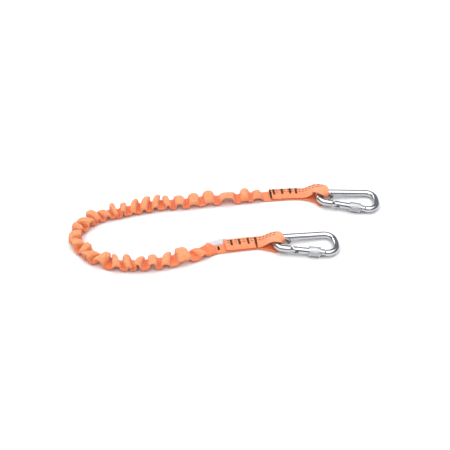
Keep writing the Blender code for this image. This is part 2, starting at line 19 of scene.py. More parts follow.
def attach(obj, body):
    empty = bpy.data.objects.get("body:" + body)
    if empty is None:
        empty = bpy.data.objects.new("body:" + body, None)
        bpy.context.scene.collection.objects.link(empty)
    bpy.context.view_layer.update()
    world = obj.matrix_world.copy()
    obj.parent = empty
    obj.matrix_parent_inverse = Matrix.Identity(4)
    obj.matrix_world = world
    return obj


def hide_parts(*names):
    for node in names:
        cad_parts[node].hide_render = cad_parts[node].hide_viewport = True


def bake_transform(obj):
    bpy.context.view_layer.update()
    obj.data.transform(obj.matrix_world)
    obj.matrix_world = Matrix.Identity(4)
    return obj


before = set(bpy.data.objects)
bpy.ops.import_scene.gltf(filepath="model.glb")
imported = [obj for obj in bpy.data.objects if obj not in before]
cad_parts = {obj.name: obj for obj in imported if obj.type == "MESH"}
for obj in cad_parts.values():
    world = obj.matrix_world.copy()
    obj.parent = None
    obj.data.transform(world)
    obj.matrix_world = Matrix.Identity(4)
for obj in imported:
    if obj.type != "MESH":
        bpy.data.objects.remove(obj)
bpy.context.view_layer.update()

MM = 0.001

# ---------------------------------------------------------------- sizes shared with the CAD source

GAP = 0.0003
EYE = {"far": (0.0434, 0.0400), "near": (-0.0144, -0.0459)}
HEADING = {"far": math.radians(-2.6), "near": math.radians(3.3)}

WEB_WIDTH = 0.020
WEB_THICK = 0.0022
TOP_LAYER_END = {"far": -0.072, "near": -0.070}
STRAP_START_X = -0.080
STRAP_START_Y = {"far": 0.0074, "near": 0.0029}
STRAP_MIDDLE = {
    "far": [(-0.058, 0.0110), (-0.040, 0.0132), (-0.028, 0.0132)],
    "near": [(-0.058, 0.0062), (-0.040, 0.0080), (-0.028, 0.0088)],
}
STRAP_APPROACH = 0.010
STRAP_APPROACH_SHIFT = -0.0010
TACKS = {
    "far": [
        (-0.0700, 0.016, 0.0),
        (-0.0655, 0.009, 0.0040),
        (-0.0550, 0.009, 0.0040),
        (-0.0450, 0.009, 0.0040),
        (-0.0375, 0.009, 0.0040),
    ],
    "near": [
        (-0.0765, 0.007, 0.0030),
        (-0.0610, 0.008, 0.0040),
        (-0.0515, 0.008, 0.0040),
        (-0.0410, 0.009, 0.0040),
        (-0.0320, 0.016, 0.0),
    ],
}

WIRE_RADIUS = 0.004
EYE_BEND = 0.010
SPINE_ANGLE = math.radians(6.5)
SPINE_LENGTH = 0.0504
SHOULDER_BEND = (0.011, math.radians(83))
CROWN_BEND = (0.041, math.radians(18))
NOSE_BEND = 0.0124
WRAP_ANGLE = {"far": math.radians(138), "near": math.radians(156)}
WRAP_HEIGHT = 0.0092
LOOP_RADIUS = 0.0067
RIVET_AT = 0.013
NOSE_AT = 0.0492
GATE_RADIUS = 0.004
NUT_START = 0.0165
NUT_LENGTH = 0.0140
NUT_RADIUS = 0.0058
NUT_RIM = 0.0022
SLOT_HALF = 0.0017
CAM_LOW = 0.0026
NOSE_SLOT_START = 0.0309
NOSE_HALF = 0.0031
NOSE_LIP = 0.0014
LATCH_AT = 0.0337
LATCH_RADIUS = 0.0010
EYELET_HOLE = 0.0049
EYELET_HALF = 0.0030
EYELET_STRETCH = 1.25

LABEL_SIZE = (0.0240, 0.0070, 0.0006)
LABEL_X = -0.0795
LABEL_TILT = math.radians(35)
LABEL_EDGE_Z = 0.0020

ROUTE = [
    (-0.0478, 0.0470),
    (-0.0728, 0.0445),
    (-0.1018, 0.0410),
    (-0.1298, 0.0350),
    (-0.1578, 0.0315),
    (-0.1848, 0.0240),
    (-0.2118, 0.0170),
    (-0.2328, 0.0095),
    (-0.2498, -0.0050),
    (-0.2598, -0.0190),
    (-0.2628, -0.0330),
    (-0.2578, -0.0470),
    (-0.2468, -0.0600),
    (-0.2298, -0.0720),
    (-0.2088, -0.0800),
    (-0.1858, -0.0810),
    (-0.1628, -0.0780),
    (-0.1408, -0.0725),
    (-0.1218, -0.0645),
]
SHEATH_Z = 0.0068

# ---------------------------------------------------------------- the folds of the gathered leg

# From the far strap round the bend: each fold's length along the leg and height in millimetres, and
# how wide its crest is, from -1 (a narrow loop between wide hollows) to 1 (a wide dome).
FOLDS = [
    (14, 6.0, 0.5),
    (18, 8.5, 0.0),
    (25, 9.5, 0.5),
    (20, 10.5, 0.1),
    (17, 10.0, 0.3),
    (18, 10.0, 0.1),
    (13, 9.5, -0.3),
    (13, 9.5, -0.3),
    (14, 10.5, -0.2),
    (13, 8.0, -0.4),
    (13, 10.5, -0.6),
    (10, 10.5, -0.6),
    (14, 8.0, 0.0),
    (13, 11.0, -0.2),
    (15, 11.5, 0.1),
    (12, 10.0, -0.2),
    (17, 9.5, 0.2),
    (15, 10.5, 0.0),
    (13, 11.0, -0.1),
    (13, 10.0, 0.1),
    (16, 10.5, 0.1),
    (14, 10.0, -0.2),
    (13, 8.5, -0.2),
    (14, 10.0, -0.3),
    (16, 10.5, -0.1),
    (15, 8.0, 0.1),
    (24, 13.0, 0.1),
    (16, 6.0, 0.0),
    (14, 1.5, 0.0),
]
BEND_FOLD = 17              # the leg's two pieces meet in the hollow before this fold
TWIST_SPREAD = 4.5          # folds on each side of the bend that twist with it
FOLD_ROWS = 26
GATHER_SEED = 11
TUBE_HALF = 0.0012          # half the thickness of the flattened tube
PUFF = 0.25                 # how much thicker the tube is on a crest
EDGE_CURL = 0.006           # how far a hollow's edges may curl up
FLOOR_SOFTNESS = 0.0004     # how gently the webbing comes to rest on the floor
JOINING_ROWS = 8            # the leg's last rows run into the strap
NARROWS_FROM_STRAP = 0.6    # folds
LIFT_OF_ROLL = 0.6          # share of a rolled fold's half width that its middle is lifted by
# What varies from fold to fold: the ranges it is drawn from, and what the twist in the bend adds.
STEEPNESS = 1.6             # times height over length
STEEPNESS_RANGE = (0.5, 1.35)
ROUNDNESS = (0.9, 1.15)
SKEW = 0.42                 # how far the fold slants, as a share of the distance across
SKEW_IN_BEND = 0.5
BOW = 2.2 * MM
EDGE_TILT = 0.35
ROLL_SHARE = (0.3, 1)
ROLL = 5                    # degrees
ROLL_IN_BEND = 34
SWAY = 1.2                  # millimetres
SWAY_IN_BEND = 1.4
DOME = (0.08, 0.34)
WIDTH_SHARE = 0.94
NARROWER_IN_BEND = 0.16
HOLLOW_RISE = (0, 1.6)      # millimetres that a hollow lies over its lowest


# ---------------------------------------------------------------- frames and curves

UP = Vector((0, 0, 1))
STRAP_STEPS = 12            # steps between two points that a curve goes through
LEG_STEPS = 24


def ease(t):
    """From 0 to 1 with no corner at either."""
    t = min(max(t, 0.0), 1.0)
    return t * t * (3 - 2 * t)


def heading_vector(angle):
    return Vector((math.cos(angle), math.sin(angle)))


def right_of(angle):
    """The direction a quarter turn to the right of a heading."""
    return Vector((math.sin(angle), -math.cos(angle)))


def smooth_curve(points, per_span):
    """A Catmull-Rom curve through points."""
    ends = [2 * points[0] - points[1], *points, 2 * points[-1] - points[-2]]
    curve = []
    for a, b, c, d in zip(ends, ends[1:], ends[2:], ends[3:]):
        for i in range(per_span):
            t = i / per_span
            curve.append(
                0.5 * (2 * b + (c - a) * t + (2 * a - 5 * b + 4 * c - d) * t**2
                       + (3 * b - a - 3 * c + d) * t**3)
            )
    return curve + [points[-1].copy()]


def bend(centre, radius, start, stop, step):
    """A bend to the right from one heading to a smaller one, about a centre."""
    steps = max(2, math.ceil((start - stop) / step))
    headings = [start + (stop - start) * i / steps for i in range(steps + 1)]
    return [centre - radius * right_of(heading) for heading in headings]


def hook_outline(step=math.radians(3)):
    """The wire's centre line from the gate's hinge round to the nose, and the gate side's line."""
    spine_start = -EYE_BEND * right_of(SPINE_ANGLE)
    spine_end = spine_start + SPINE_LENGTH * heading_vector(SPINE_ANGLE)
    shoulder_radius, shoulder_turn = SHOULDER_BEND
    crown_radius, crown_turn = CROWN_BEND
    after_shoulder = SPINE_ANGLE - shoulder_turn
    after_crown = after_shoulder - crown_turn
    shoulder_centre = spine_end + shoulder_radius * right_of(SPINE_ANGLE)
    crown_centre = shoulder_centre + (crown_radius - shoulder_radius) * right_of(after_shoulder)
    nose_centre = crown_centre + (NOSE_BEND - crown_radius) * right_of(after_crown)

    reach = nose_centre.length
    side = math.atan2(nose_centre.y, nose_centre.x) - math.asin((NOSE_BEND - EYE_BEND) / reach)
    side_start = EYE_BEND * right_of(side)
    back = side + math.pi
    line = [side_start + (RIVET_AT - GATE_RADIUS - 2 * GAP) * heading_vector(side)]
    line += bend(Vector((0, 0)), EYE_BEND, back, SPINE_ANGLE, step)
    line += bend(shoulder_centre, shoulder_radius, SPINE_ANGLE, after_shoulder, step)
    line += bend(crown_centre, crown_radius, after_shoulder, after_crown, step)[1:]
    line += bend(nose_centre, NOSE_BEND, after_crown, back - 2 * math.pi, step)[1:]
    line.append(side_start + NOSE_AT * heading_vector(side))
    return line, side_start, side


WRAP = {end: Vector((*(EYE_BEND * heading_vector(angle)), 0)) for end, angle in WRAP_ANGLE.items()}
OUTLINE, SIDE_START, SIDE = hook_outline()


def end_matrix(end):
    return Matrix.Translation((*EYE[end], 0)) @ Matrix.Rotation(HEADING[end], 4, "Z")


def hook_matrix(end):
    """The hook frame; a point of the hook's outline is (x, y, 0) - WRAP[end] in it."""
    rim = SIDE_START + (RIVET_AT + NUT_START + NUT_LENGTH) * heading_vector(SIDE)
    tilt = math.asin((WRAP_HEIGHT - NUT_RADIUS) / (rim.x - WRAP[end].x))
    place = Matrix.Translation((*WRAP[end].xy, WRAP_HEIGHT))
    return end_matrix(end) @ place @ Matrix.Rotation(tilt, 4, "Y")


def gate_matrix(end):
    """The gate frame: the rivet at its origin and +X along the gate, towards the nose."""
    rivet = SIDE_START + RIVET_AT * heading_vector(SIDE)
    place = Matrix.Translation(Vector((*rivet, 0)) - WRAP[end])
    return hook_matrix(end) @ place @ Matrix.Rotation(SIDE, 4, "Z")


# ---------------------------------------------------------------- nodes

class Nodes:
    """A material's nodes, with one short call for each kind that is used here."""

    def __init__(self, name, roughness, metallic=0.0):
        self.material = bpy.data.materials.new(name)
        self.material.use_nodes = True
        self.tree = self.material.node_tree
        self.shader = self.tree.nodes["Principled BSDF"]
        self.shade(Roughness=roughness, Metallic=metallic)

    def feed(self, slot, value):
        """Set a node's input, or link it to another node's output."""
        if isinstance(value, bpy.types.NodeSocket):
            self.tree.links.new(value, slot)
        else:
            slot.default_value = value

    def new(self, kind, **inputs):
        """A node; an input's name is written with _ for each space."""
        node = self.tree.nodes.new(kind)
        for name, value in inputs.items():
            self.feed(node.inputs[name.replace("_", " ")], value)
        return node

    def math(self, operation, first, second=0.0):
        node = self.new("ShaderNodeMath")
        node.operation = operation
        self.feed(node.inputs[0], first)
        self.feed(node.inputs[1], second)
        return node.outputs[0]

    def object_point(self):
        return self.new("ShaderNodeTexCoord").outputs["Object"]

    def noise(self, scale, detail):
        """Noise of so many patches in a metre."""
        place = self.object_point()
        return self.new("ShaderNodeTexNoise", Scale=scale, Detail=detail, Vector=place).outputs["Fac"]

    def ramp(self, factor, stops):
        """Colours at places from 0 to 1 over a factor."""
        node = self.new("ShaderNodeValToRGB", Fac=factor)
        ramp = node.color_ramp
        while len(ramp.elements) < len(stops):
            ramp.elements.new(1.0)
        for element, (place, colour) in zip(ramp.elements, stops):
            element.position = place
            element.color = (*colour, 1.0)
        return node.outputs["Color"]

    def range(self, factor, low, high):
        return self.new("ShaderNodeMapRange", Value=factor, To_Min=low, To_Max=high).outputs["Result"]

    def bump(self, height, distance, strength):
        node = self.new("ShaderNodeBump", Height=height, Distance=distance, Strength=strength)
        self.shade(Normal=node.outputs["Normal"])
        return node

    def shade(self, **inputs):
        """Set or link the shader's own inputs."""
        for name, value in inputs.items():
            self.feed(self.shader.inputs[name.replace("_", " ")], value)


def cloth_uv(nodes):
    """Places on the cloth in millimetres: across it and along it."""
    uv = nodes.new("ShaderNodeUVMap")
    uv.uv_map = "cloth"
    split = nodes.new("ShaderNodeSeparateXYZ", Vector=uv.outputs["UV"])
    across = nodes.math("MULTIPLY", split.outputs["X"], 1 / MM)
    along = nodes.math("MULTIPLY", split.outputs["Y"], 1 / MM)
    return across, along


# Noise scales, in patches per metre.
WEBBING_PATCHES = 220.0
WEBBING_CREASES = 300.0
THREAD_STRANDS = 2600.0
METAL_CLOUDS = 60.0
METAL_SCRATCHES = 900.0
FLOOR_CLOUDS = 4.0

THREAD_PITCH = (1.3, 0.9)   # millimetres across the webbing and along it
THREAD_RELIEF = 0.00012
STRAND_RELIEF = 0.00008
SCRATCH_DEPTH = 0.00002
# Painted light: the webbing is painted paler the higher it stands over the floor, a painted highlight on
# the crests and painted shade in the hollows.
PAINTED_LIGHT_HEIGHT = 0.012        # metres over the floor
# How much of the webbing's colour each decides: slow patches, the weave, and painted light: crests are
# painted paler the higher they stand, a painted highlight that leaves the hollows in painted shade.
PATCH_SHARE = 0.42
WEAVE_SHARE = 0.18
PAINTED_LIGHT_SHARE = 0.40


def weave(nodes):
    """Height of a plain weave: threads that go over and under each other."""
    across, along = cloth_uv(nodes)
    warp = nodes.math("SINE", nodes.math("MULTIPLY", across, 2 * math.pi / THREAD_PITCH[0]))
    weft = nodes.math("SINE", nodes.math("MULTIPLY", along, 2 * math.pi / THREAD_PITCH[1]))
    return nodes.range(nodes.math("MULTIPLY", warp, weft), 0.0, 1.0)


def webbing_material(name, dark, light, crumple):
    """Woven polyester: plain weave, slow changes of colour, painted light that makes crests paler the
    higher they stand, a soft sheen and small creases.
    """
    nodes = Nodes(name, 0.82)
    threads = weave(nodes)
    patches = nodes.noise(WEBBING_PATCHES, 3.0)
    level = nodes.new("ShaderNodeSeparateXYZ", Vector=nodes.object_point()).outputs["Z"]
    # Painted light: the colour gets paler with height over the floor, standing in for lit crests and
    # shaded hollows.
    painted_light = nodes.range(nodes.math("MULTIPLY", level, 1 / PAINTED_LIGHT_HEIGHT), 0.0, PAINTED_LIGHT_SHARE)
    patch_part = nodes.math("MULTIPLY", patches, PATCH_SHARE)
    weave_part = nodes.math("MULTIPLY", threads, WEAVE_SHARE)
    mixed = nodes.math("ADD", nodes.math("ADD", patch_part, weave_part), painted_light)
    nodes.shade(
        Base_Color=nodes.ramp(mixed, [(0.25, dark), (0.72, light)]),
        Roughness=nodes.range(patches, 0.76, 0.90),
        Sheen_Weight=0.25,
        Sheen_Roughness=0.5,
    )
    uneven = nodes.noise(WEBBING_CREASES, 3.0)
    creases = nodes.new("ShaderNodeBump", Height=uneven, Distance=crumple)
    relief = nodes.bump(threads, THREAD_RELIEF, 0.6)
    nodes.feed(relief.inputs["Normal"], creases.outputs["Normal"])
    return nodes.material


def thread_material(name, dark, light):
    """Sewing thread: fine twisted strands."""
    nodes = Nodes(name, 0.6)
    strands = nodes.noise(THREAD_STRANDS, 2.0)
    nodes.shade(Base_Color=nodes.ramp(strands, [(0.35, dark), (0.65, light)]), Sheen_Weight=0.2)
    nodes.bump(strands, STRAND_RELIEF, 0.5)
    return nodes.material


def metal_material(name, dark, light, roughness):
    """Metal with faint cloudy wear in its roughness and colour, and a trace of scratches."""
    nodes = Nodes(name, roughness[0], 1.0)
    clouds = nodes.noise(METAL_CLOUDS, 4.0)
    nodes.shade(
        Base_Color=nodes.ramp(clouds, [(0.30, dark), (0.70, light)]),
        Roughness=nodes.range(clouds, *roughness),
    )
    nodes.bump(nodes.noise(METAL_SCRATCHES, 2.0), SCRATCH_DEPTH, 0.3)
    return nodes.material


# ---------------------------------------------------------------- meshes

CLOTH_SMOOTH = math.radians(70)     # edges that bend less than this are shaded smooth
SOLID_SMOOTH = math.radians(40)
THREAD_SMOOTH = math.radians(60)


def closed_mesh(name, vertices, faces):
    """A mesh whose faces all look outwards."""
    mesh = bpy.data.meshes.new(name)
    mesh.from_pydata([tuple(point) for point in vertices], [], faces)
    made = bmesh.new()
    made.from_mesh(mesh)
    bmesh.ops.recalc_face_normals(made, faces=made.faces)
    made.to_mesh(mesh)
    made.free()
    return mesh


def link(mesh, looks, smooth_below):
    mesh.materials.append(looks)
    mesh.shade_smooth()
    mesh.set_sharp_from_angle(angle=smooth_below)
    item = bpy.data.objects.new(mesh.name, mesh)
    bpy.context.scene.collection.objects.link(item)
    return item


def skin(rings, torus=False):
    """Vertices and faces that join equal rings of points, closed by end caps or into a torus."""
    count = len(rings[0])
    vertices = [point for ring in rings for point in ring]
    faces = [] if torus else [tuple(range(count))[::-1]]
    for i in range(len(rings) if torus else len(rings) - 1):
        low = i * count
        high = (i + 1) % len(rings) * count
        for k in range(count):
            j = (k + 1) % count
            faces.append((low + k, low + j, high + j, high + k))
    if not torus:
        faces.append(tuple(range(len(vertices) - count, len(vertices))))
    return vertices, faces


def moved(shell, matrix):
    vertices, faces = shell
    return [matrix @ Vector(point) for point in vertices], faces


def round_shell(points, radii, sides):
    """A round thread or wire along points, with a radius at each."""
    rings = []
    turns = [2 * math.pi * k / sides for k in range(sides)]
    for i, (point, radius) in enumerate(zip(points, radii)):
        along = (points[min(i + 1, len(points) - 1)] - points[max(i - 1, 0)]).normalized()
        across = along.cross(UP).normalized()
        over = across.cross(along)
        rings.append([point + radius * (math.cos(a) * across + math.sin(a) * over) for a in turns])
    return skin(rings)


def thread_shell(points, radius):
    return round_shell(points, [radius] * len(points), THREAD_SIDES)


def mesh_of_shells(name, shells, looks, smooth_below):
    """One object from several closed shells, each a list of vertices and a list of faces."""
    vertices, faces = [], []
    for some_vertices, some_faces in shells:
        start = len(vertices)
        vertices += some_vertices
        faces += [tuple(start + i for i in face) for face in some_faces]
    return link(closed_mesh(name, vertices, faces), looks, smooth_below)


ACROSS = np.array([-1, -0.96, -0.86, -0.7, -0.5, -0.25, 0, 0.25, 0.5, 0.7, 0.86, 0.96, 1.0])
MIDDLE = len(ACROSS) // 2
EDGE_ROUNDING = 6           # the power of the tube's rounded edges
THREAD_SIDES = 6


def distances(line):
    """How far along a line each of its points is."""
    return np.concatenate([[0.0], np.cumsum(np.linalg.norm(np.diff(line, axis=0), axis=1))])


def grid_normals(rows):
    along = np.gradient(rows, axis=0)
    across = np.gradient(rows, axis=1)
    normals = np.cross(along, across)
    return normals / np.linalg.norm(normals, axis=2, keepdims=True)


def flat_tube(name, rows, half, width, looks):
    """A closed, flattened tube round a middle surface, given as rows of points across it."""
    normals = grid_normals(rows)
    share = np.sqrt(1 - np.abs(ACROSS) ** EDGE_ROUNDING)
    lift = normals * (np.broadcast_to(half, len(rows))[:, None] * share)[:, :, None]
    over = rows + lift
    under = (rows - lift)[:, -2:0:-1]
    rings = np.concatenate([over, under], axis=1)
    count = rings.shape[1]
    mesh = closed_mesh(name, rings.reshape(-1, 3), skin(rings.tolist())[1])
    along = distances(rows[:, MIDDLE])
    across = np.concatenate([ACROSS, ACROSS[-2:0:-1]]) * width / 2
    uv = mesh.uv_layers.new(name="cloth")
    for loop in mesh.loops:
        row, column = divmod(loop.vertex_index, count)
        uv.data[loop.index].uv = (across[column], along[row])
    return link(mesh, looks, CLOTH_SMOOTH)


# ---------------------------------------------------------------- the strap

# Round the wire, from under it (-90 degrees) through the eye to over it (90): the strap's width in
# millimetres, and how deep it is cupped.
TURN = [
    (-90, 20.0, 0.0),
    (-55, 13.0, 1.6),
    (-26, 7.6, 2.6),
    (10, 5.6, 3.0),
    (26, 7.6, 2.8),
    (50, 15.0, 2.4),
    (90, 20.0, 1.0),
]
TURN_STEPS = 36
CUP_ARC = 1.4               # half the angle, in radians, that the cupped section covers
LOOP_MIDDLE = LOOP_RADIUS + WEB_THICK / 2
LOOP_TOP = {"far": 0.0072, "near": 0.0058}       # the strap's middle above the wire's middle

BOTTOM_Z = WRAP_HEIGHT - LOOP_MIDDLE
START_WIDTH = {"far": 0.0185, "near": 0.0140}    # still drawn together by the gathered leg
WIDENS_OVER = {"far": 0.015, "near": 0.026}
FANS_OVER = 0.026           # the bottom layer's near side reaches on under the eye
FAN_REACH = {"far": 0.009, "near": 0.004}
FAN_SHIFT = 0.0018
FAN_POWER = 1.5
FAN_TURN = 80               # degrees of the turn in which the fan is drawn together

FOLDED_Z = BOTTOM_Z + WEB_THICK + GAP
RISES_OVER = {"far": 0.025, "near": 0.020}       # the top layer's way up to the wire
ROLL_UP = math.radians(4)   # the top layer leans where it comes down from the wire
CURL_OVER = 0.007           # the top layer's free end curls up
CURL_RISE = {"far": 0.0004, "near": 0.0026}


def into_eye(end):
    """The direction from the wrapped wire to the eye's centre."""
    return -WRAP[end].normalized()


def strap_plan(end):
    """The strap's centre line seen from above, in the end frame."""
    approach = WRAP[end] - STRAP_APPROACH * into_eye(end) + Vector((0, STRAP_APPROACH_SHIFT, 0))
    start = Vector((STRAP_START_X, STRAP_START_Y[end], 0))
    middle = [Vector((*spot, 0)) for spot in STRAP_MIDDLE[end]]
    return smooth_curve([start, *middle, approach, WRAP[end].copy()], STRAP_STEPS)


def row_across(spot, across, normal, width, cup=0.0, roll=0.0):
    """Points over the strap's width, cupped towards the normal and rolled about its length."""
    row = []
    full = (math.sin(CUP_ARC), 1 - math.cos(CUP_ARC))
    lean = across * math.cos(roll) + normal * math.sin(roll)
    for v in ACROSS:
        side = width / 2 * (math.sin(CUP_ARC * v) / full[0] if cup else v)
        deep = cup * (1 - math.cos(CUP_ARC * v)) / full[1]
        row.append(spot + lean * side + normal * deep)
    return row


def fanned(row, ahead, reach):
    """The row with its near side drawn ahead, as where a wide strap enters a narrow eye."""
    return [point + ahead * (reach * max(-v, 0.0) ** FAN_POWER) for point, v in zip(row, ACROSS)]


def bottom_row(end, spot, across, left):
    """A row of the bottom layer at a distance before the wire, where it fans out."""
    fan = 1 - ease(left / FANS_OVER)
    gathered = 1 - ease((spot.x - STRAP_START_X) / WIDENS_OVER[end])
    lacking = (WEB_WIDTH - START_WIDTH[end]) * gathered
    place = spot + UP * BOTTOM_Z - across * (FAN_SHIFT * fan + lacking / 2)
    row = row_across(place, across, UP, WEB_WIDTH - lacking)
    return fanned(row, into_eye(end), FAN_REACH[end] * fan)


def turn_row(end, degrees):
    """A row of the strap's turn round the wire."""
    ahead = into_eye(end)
    across = Vector((-ahead.y, ahead.x, 0))
    a = math.radians(degrees)
    fan = 1 - ease((degrees + 90) / FAN_TURN)
    spot = WRAP[end] + ahead * (LOOP_MIDDLE * math.cos(a)) - across * (FAN_SHIFT * fan)
    spot.z = WRAP_HEIGHT + math.sin(a) * (LOOP_MIDDLE if a < 0 else LOOP_TOP[end])
    angles, widths, cups = zip(*TURN)
    width = np.interp(degrees, angles, widths) * MM
    cup = np.interp(degrees, angles, cups) * MM
    row = row_across(spot, across, ahead * math.cos(a) + UP * math.sin(a), width, cup)
    return fanned(row, ahead, FAN_REACH[end] * fan)


def top_row(end, spot, across, left):
    """A row of the top layer at a distance before the wire: it climbs, leans, and curls at its end."""
    climb = 1 - ease(left / RISES_OVER[end])
    leans = math.sin(math.pi * min(left / RISES_OVER[end], 1.0)) ** 2
    from_end = (spot.x - TOP_LAYER_END[end]) / CURL_OVER
    curl = CURL_RISE[end] * max(0.0, 1 - from_end) ** 2
    height = FOLDED_Z + (WRAP_HEIGHT + LOOP_TOP[end] - FOLDED_Z) * climb + curl
    return row_across(spot + UP * height, across, UP, WEB_WIDTH, roll=ROLL_UP * leans)


def strap_layers(end):
    """Rows of the bottom layer and of the top layer, both from the leg towards the wire."""
    plan = strap_plan(end)
    lower, upper = [], []
    for before, spot, after in zip([plan[0], *plan], plan, plan[1:]):
        along = (after - before).normalized()
        across = Vector((-along.y, along.x, 0))
        left = (plan[-1] - spot).length
        lower.append(bottom_row(end, spot, across, left))
        if spot.x > TOP_LAYER_END[end]:
            upper.append(top_row(end, spot, across, left))
    return lower, upper


def strap_rows(end):
    """Rows of the folded strap in the end frame, and where along them the top layer begins."""
    lower, upper = strap_layers(end)
    turn = [turn_row(end, -90 + 180 * i / TURN_STEPS) for i in range(TURN_STEPS + 1)]
    return lower + turn + upper[::-1], len(lower) + len(turn)


def relaxed(rows, passes=4):
    """The rows with the corners between their parts eased, ends kept."""
    for _ in range(passes):
        rows[1:-1] = 0.25 * rows[:-2] + 0.5 * rows[1:-1] + 0.25 * rows[2:]
    return rows


def placed(rows, matrix):
    """Rows of points as an array in the part's frame."""
    return np.array([[tuple(matrix @ point) for point in row] for row in rows])


def bend_at_wire(piece):
    """Bake the piece's placement into its mesh; the loop round the wire is not made to turn with the
    hook.
    """
    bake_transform(piece)


def eye_strap(end, looks):
    rows, top_start = strap_rows(end)
    rows = relaxed(placed(rows, end_matrix(end)))
    strap = flat_tube(f"{end}_strap_webbing", rows, WEB_THICK / 2, WEB_WIDTH, looks["webbing"])
    bend_at_wire(strap)
    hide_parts(f"{end}_eye_strap")
    return rows, top_start


def surface_point(rows, row, v, height):
    """A point above the strap's surface, at a row's index and a place across it."""
    k = min(int(row), len(rows) - 2)
    t = row - k
    point, normal = (
        Vector([np.interp(v, ACROSS, column) for column in (grid[k] * (1 - t) + grid[k + 1] * t).T])
        for grid in (rows, grid_normals(rows))
    )
    return point + normal * height


def row_at(rows, target_x, low, high, to_end):
    """The index of the row whose middle is at an x of the end frame, between two rows."""
    middle = np.array([(to_end @ Vector(row[MIDDLE])).x for row in rows[low:high]])
    order = np.argsort(middle)
    return low + float(np.interp(target_x, middle[order], order))


# ---------------------------------------------------------------- sewing

TACK_INSET = {"far": 0.0008, "near": 0.0016}
TACK_SPREAD = 0.0018        # the thread reaches past the tack's length
TACK_PITCH = 0.00055
TACK_HALF = 0.0012
TACK_THREAD = 0.00036       # radius
TACK_WANDER = 0.12 * MM
TACK_SEED = 5

STITCH_ROWS = (0.0062, 0.0022)      # across the strap, from its middle
STITCH_PITCH = 0.0047
STITCH_LENGTH = 0.0026
STITCH_THREAD = 0.00048     # radius
STITCH_START = 0.0008
STITCH_STOP = 0.003         # no stitches in the last of the top layer
STITCH_SUNK = 0.0002
STITCH_RISE = 0.00045
STITCH_PARTS = 6


def tack_points(end, rows, row, side, length, offset, rng):
    """A zigzag of thread across the strap; side is 1 on the bottom layer and -1 on the top layer."""
    step = np.linalg.norm(rows[int(row) + 1, MIDDLE] - rows[int(row), MIDDLE])
    turns = round(length / TACK_PITCH)
    points = []
    wander = 0.0
    for i in range(turns + 1):
        across = offset - TACK_INSET[end] + (length + TACK_SPREAD) * (i / turns - 0.5)
        wander = 0.9 * (wander + rng.uniform(-1, 1) * TACK_WANDER)
        zigzag = TACK_HALF * (1 if i % 2 else -1) * rng.uniform(0.75, 1.1) + wander
        v = across / (WEB_WIDTH / 2)
        share = math.sqrt(max(0.0, 1 - abs(min(max(v, -1), 1)) ** EDGE_ROUNDING))
        height = side * (WEB_THICK / 2 * share + TACK_THREAD)
        points.append(surface_point(rows, row + zigzag / step, v, height))
    return points


def bar_tacks(end, rows, top_start, looks):
    """Dense zigzag stitching over the webbing, made of thread."""
    to_end = end_matrix(end).inverted()
    rng = random.Random(TACK_SEED)
    for number, (x, length, offset) in enumerate(TACKS[end], 1):
        if x > TOP_LAYER_END[end]:
            side = -1
            row = row_at(rows, x, top_start, len(rows), to_end)
        else:
            side = 1
            row = row_at(rows, x, 0, top_start - TURN_STEPS - 1, to_end)
        points = tack_points(end, rows, row, side, length, offset, rng)
        name = f"{end}_tack_thread_{number}"
        tack = mesh_of_shells(name, [thread_shell(points, TACK_THREAD)], looks["black"], THREAD_SMOOTH)
        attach(tack, f"{end}_strap")
        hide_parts(f"{end}_bar_tack_{number}")


def edge_stitches(end, rows, top_start, looks):
    """Two rows of short stitches beside the top layer's far edge."""
    along = distances(rows[top_start:, MIDDLE])
    stitches = []
    for across in STITCH_ROWS:
        place = STITCH_START
        while place + STITCH_LENGTH < along[-1] - STITCH_STOP:
            points = []
            for i in range(STITCH_PARTS + 1):
                t = i / STITCH_PARTS
                row = top_start + np.interp(place + STITCH_LENGTH * t, along, np.arange(len(along)))
                rise = WEB_THICK / 2 - STITCH_SUNK + STITCH_RISE * math.sin(math.pi * t)
                points.append(surface_point(rows, row, across / (WEB_WIDTH / 2), -rise))
            stitches.append(thread_shell(points, STITCH_THREAD))
            place += STITCH_PITCH
    made = mesh_of_shells(f"{end}_edge_stitching", stitches, looks["brown"], THREAD_SMOOTH)
    bend_at_wire(made)


# ---------------------------------------------------------------- the gathered leg

def strap_end(end):
    return end_matrix(end) @ strap_plan(end)[0]


def leg_line():
    """The leg's centre line as fine points, with the distance along it at each."""
    keys = [strap_end("far")] + [Vector((*spot, 0)) for spot in ROUTE] + [strap_end("near")]
    line = np.array([tuple(point) for point in smooth_curve(keys, LEG_STEPS)])
    return line, distances(line)


